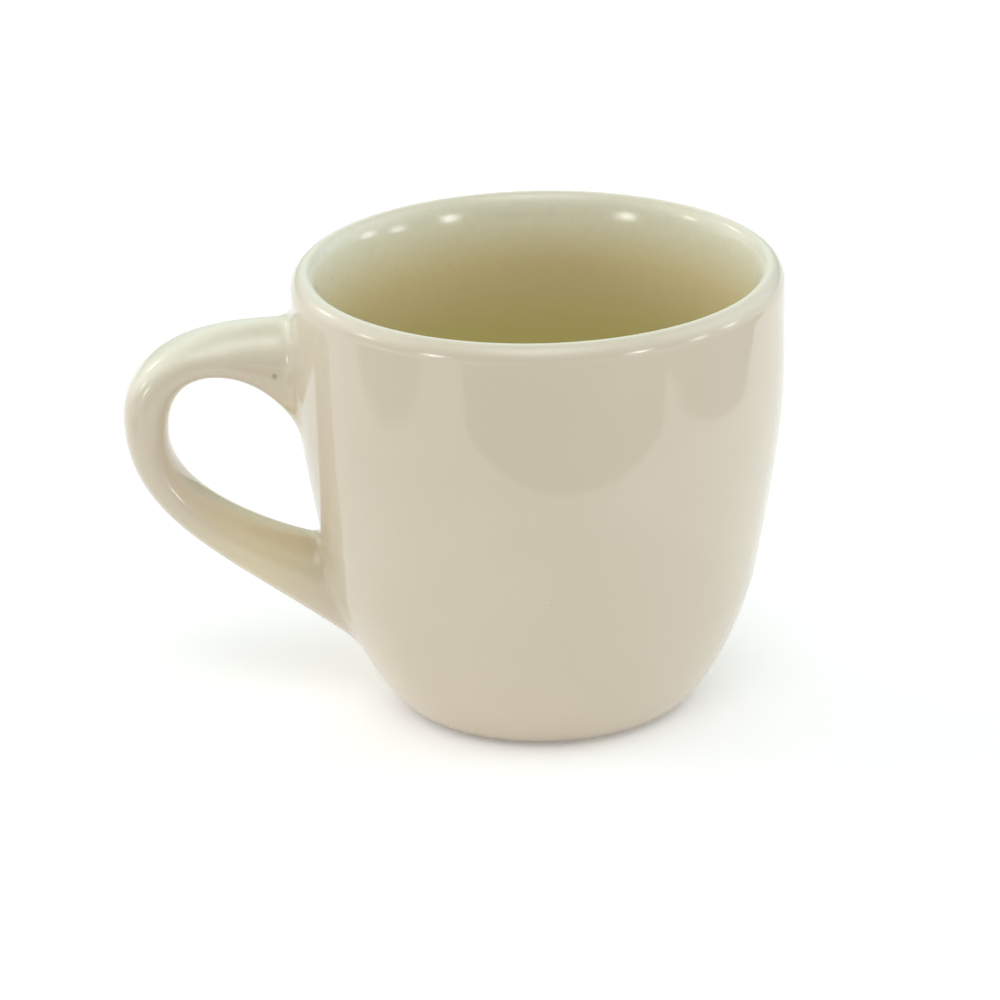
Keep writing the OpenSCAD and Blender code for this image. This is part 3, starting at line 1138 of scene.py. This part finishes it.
@dataclass
class HandleCoat(Coat):
    """The glaze of the handle and of the beads at its two roots.

    Each pair of the tail is a step past the foot of a bead: how far on along the wall, and how deep
    in it, in millimetres.
    """

    shape: LoopShape
    lines: int = 64
    rings: int = 84
    bead_steps: int = 12
    tail: tuple[Pair, ...] = ((0.4, 0.008), (0.9, 0.06), (1.0, 0.7))

    def build(self) -> None:
        """Draw the coat from the upper root's foot round the loop to the lower root's foot."""
        turns = [math.tau * k / self.lines for k in range(self.lines)]
        upper = self._bead_rings(turns, Root.UPPER)[::-1]
        sleeve = Sleeve("glaze_of_handle", upper[0])
        for ring in upper[1:] + self._loop_rings(turns) + self._bead_rings(turns, Root.LOWER):
            sleeve.draw_to(ring)
        coat = sleeve.close()
        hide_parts("handle_glaze")
        self.pieces = [coat]

    def _bead_rings(self, turns: list[float], root: Root) -> list[list[Vector]]:
        """Return the rings of one bead, from the handle's side to its end inside the wall.

        Args:
            turns: Angles of the tube's lines round the handle's section, in radians.
            root: End of the loop.

        Returns:
            The points of each ring, in millimetres.
        """
        lines = [self.shape.bead_line(turn, root, self.bead_steps) for turn in turns]
        rings = [[line[k] for line in lines] for k in range(self.bead_steps + 1)]
        for beyond, sunk in self.tail:
            ends = [line[-1] + (line[-1] - line[-2]).normalized() * beyond for line in lines]
            rings.append([self.shape.bowl.on_wall(end, -sunk) for end in ends])
        return rings

    def _loop_rings(self, turns: list[float]) -> list[list[Vector]]:
        """Return the rings of the loop between its beads.

        Args:
            turns: Angles of the tube's lines round the handle's section, in radians.

        Returns:
            The points of each ring, in millimetres.
        """
        spans = [
            (self.shape.bead_share(turn, Root.UPPER), 2 - self.shape.bead_share(turn, Root.LOWER))
            for turn in turns
        ]
        rings = []
        for k in range(1, self.rings):
            share = k / self.rings
            rings.append([
                self.shape.skin(start + share * (end - start), turn)
                for turn, (start, end) in zip(turns, spans)
            ])
        return rings


@dataclass
class ClayBody:
    """The fired clay under the glaze: the bowl, the handle and the slip that joins them."""

    nodes: tuple[str, ...] = ("bowl", "handle", "upper_slip_joint", "lower_slip_joint")

    def dress(self, clay: bpy.types.Material, slip: bpy.types.Material) -> None:
        """Give each carried-over solid its finish."""
        for name in self.nodes:
            dress(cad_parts[name], slip if "slip" in name else clay)


def towards(azimuth: float, elevation: float) -> Vector:
    """Return a direction, where azimuth 0 is the camera's side and 90 is +X, in degrees.

    Args:
        azimuth: Angle round the vertical.
        elevation: Angle above the level.

    Returns:
        The direction, at length one.
    """
    around, above = math.radians(azimuth), math.radians(elevation)
    level = math.cos(above)
    return Vector((math.sin(around) * level, -math.cos(around) * level, math.sin(above)))


def white(level: float) -> Colour:
    """Return light without a tint."""
    return level, level, level


@dataclass(frozen=True)
class Glow:
    """One soft patch of light in the studio's sky.

    The higher its tightness, the smaller the patch.
    """

    azimuth: float
    elevation: float
    light: Colour
    tightness: float = 12.0

    def shine(self, nodes: NodeTree) -> bpy.types.NodeSocket:
        """Return the light of the patch in each direction of the sky.

        Args:
            nodes: The nodes of the sky.

        Returns:
            The light's output.
        """
        inputs = {0: nodes.coordinates.outputs["Generated"], 1: towards(self.azimuth, self.elevation)}
        facing = nodes.count("MAXIMUM", nodes.reckon("DOT_PRODUCT", "Value", inputs), 0.0)
        share = nodes.count("POWER", facing, self.tightness)
        return nodes.reckon("SCALE", "Vector", {0: self.light, "Scale": share})


@dataclass(frozen=True)
class DarkCard:
    """A round grey card outside the picture, seen only in the gloss, with sizes in millimetres."""

    name: str
    middle: Pair
    radius: float
    lift: float = 0.5
    sides: int = 72

    def lay(self) -> None:
        """Lay the card just over the floor."""
        deselect_all()
        place = (self.middle[0] * MM, self.middle[1] * MM, self.lift * MM)
        bpy.ops.mesh.primitive_circle_add(
            vertices=self.sides, radius=self.radius * MM, fill_type="NGON", location=place
        )
        card = bpy.context.object
        card.name = card.data.name = self.name
        card.data.materials.append(Felt().material())
        card.visible_camera = card.visible_diffuse = card.visible_shadow = False
        card.visible_transmission = card.visible_volume_scatter = False


@dataclass
class Studio:
    """White floor, a sky of soft lights, dark cards and the camera, in metres and degrees.

    The lens and its sensor are in millimetres.
    """

    target: Place = (0.0, 0.0, 0.0298)
    distance: float = 0.6
    azimuth: float = -2.0
    elevation: float = 21.737
    roll: float = -1.163
    lens: float = 164.24
    sensor: float = 36.0
    shift: Pair = (-0.0415, -0.0219)
    floor_size: float = 6.0
    broad_glows: tuple[Glow, ...] = (
        Glow(0, 60, (3.25, 3.34, 3.27)),
        Glow(-90, 35, (1.65, 1.71, 1.67)),
        Glow(90, 35, (1.61, 1.82, 1.93)),
        Glow(-135, 35, (1.07, 1.16, 1.20)),
        Glow(-120, 10, (1.39, 1.45, 1.48)),
        Glow(180, 35, (0.88, 0.93, 0.88)),
        Glow(120, 10, (0.90, 1.12, 1.26)),
        Glow(135, 35, (0.49, 0.48, 0.48)),
        Glow(180, 10, (0.58, 0.81, 0.76)),
    )
    small_glows: tuple[Glow, ...] = (
        Glow(-130, 27, white(4.5), 300),
        Glow(-90, 19, white(6.0), 300),
        Glow(-50, 7, white(11.5), 280),
        Glow(44, 9, white(12.0), 280),
        Glow(75, 5, white(6.5), 300),
        Glow(95, 7, white(5.5), 300),
    )
    cards: tuple[DarkCard, ...] = (
        DarkCard("front_card", (58, -339), 250),
        DarkCard("left_card", (-206, -76), 72),
        DarkCard("right_card", (335, -50), 200),
    )

    def build(self) -> None:
        """Lay the floor and the cards, set the sky and the camera."""
        self._lay_floor()
        for card in self.cards:
            card.lay()
        self._set_sky()
        self._set_camera()

    def _lay_floor(self) -> None:
        """Lay the floor under the cup and far beyond it."""
        deselect_all()
        bpy.ops.mesh.primitive_plane_add(size=self.floor_size, location=(0, 0, 0))
        floor = bpy.context.object
        floor.name = floor.data.name = "studio_floor"
        floor.data.materials.append(Backdrop().material())

    def _set_sky(self) -> None:
        """Light the studio by the soft patches of its sky."""
        world = bpy.data.worlds.new("studio_sky")
        world.use_nodes = True
        nodes = NodeTree(world.node_tree)
        first, *others = self.broad_glows + self.small_glows
        light = first.shine(nodes)
        for glow in others:
            light = nodes.reckon("ADD", "Vector", {0: light, 1: glow.shine(nodes)})
        nodes.wire(nodes.tree.nodes["Background"].inputs["Color"], light)
        bpy.context.scene.world = world
        bpy.context.scene.view_settings.view_transform = "Standard"

    def _set_camera(self) -> None:
        """Set the camera as the cup was seen."""
        away = towards(self.azimuth, self.elevation)
        deselect_all()
        bpy.ops.object.camera_add(location=Vector(self.target) + away * self.distance)
        camera = bpy.context.object
        camera.name = camera.data.name = "camera"
        roll = Matrix.Rotation(math.radians(self.roll), 3, "Z")
        camera.rotation_euler = (away.to_track_quat("Z", "Y").to_matrix() @ roll).to_euler()
        camera.data.sensor_width = self.sensor
        camera.data.lens = self.lens
        camera.data.shift_x, camera.data.shift_y = self.shift
        bpy.context.scene.camera = camera


def report(names: list[str], form: str) -> None:
    """Log each finished piece with its form."""
    for name in names:
        LOG.info("%s: %s", name, form)


def main() -> None:
    """Build and dress the cup, piece by piece, then set up the studio."""
    logging.basicConfig(level=logging.INFO, format="%(name)s: %(message)s")
    shape = BowlShape()
    glaze = IvoryGlaze().material()
    handle_glaze = HandleGlaze().material()

    bowl = BowlCoat(shape)
    bowl.build()
    bowl.dress(glaze)
    report([piece.name for piece in bowl.pieces], "spun coat")

    handle = HandleCoat(LoopShape(shape))
    handle.build()
    handle.dress(handle_glaze)
    report([piece.name for piece in handle.pieces], "drawn coat")

    clay = ClayBody()
    slip = BareClay(name="fired_slip", clean=rgb(0.55, 0.47, 0.36))
    clay.dress(BareClay().material(), slip.material())
    report(list(clay.nodes), "clay")

    Studio().build()


if __name__ == "__main__":
    main()
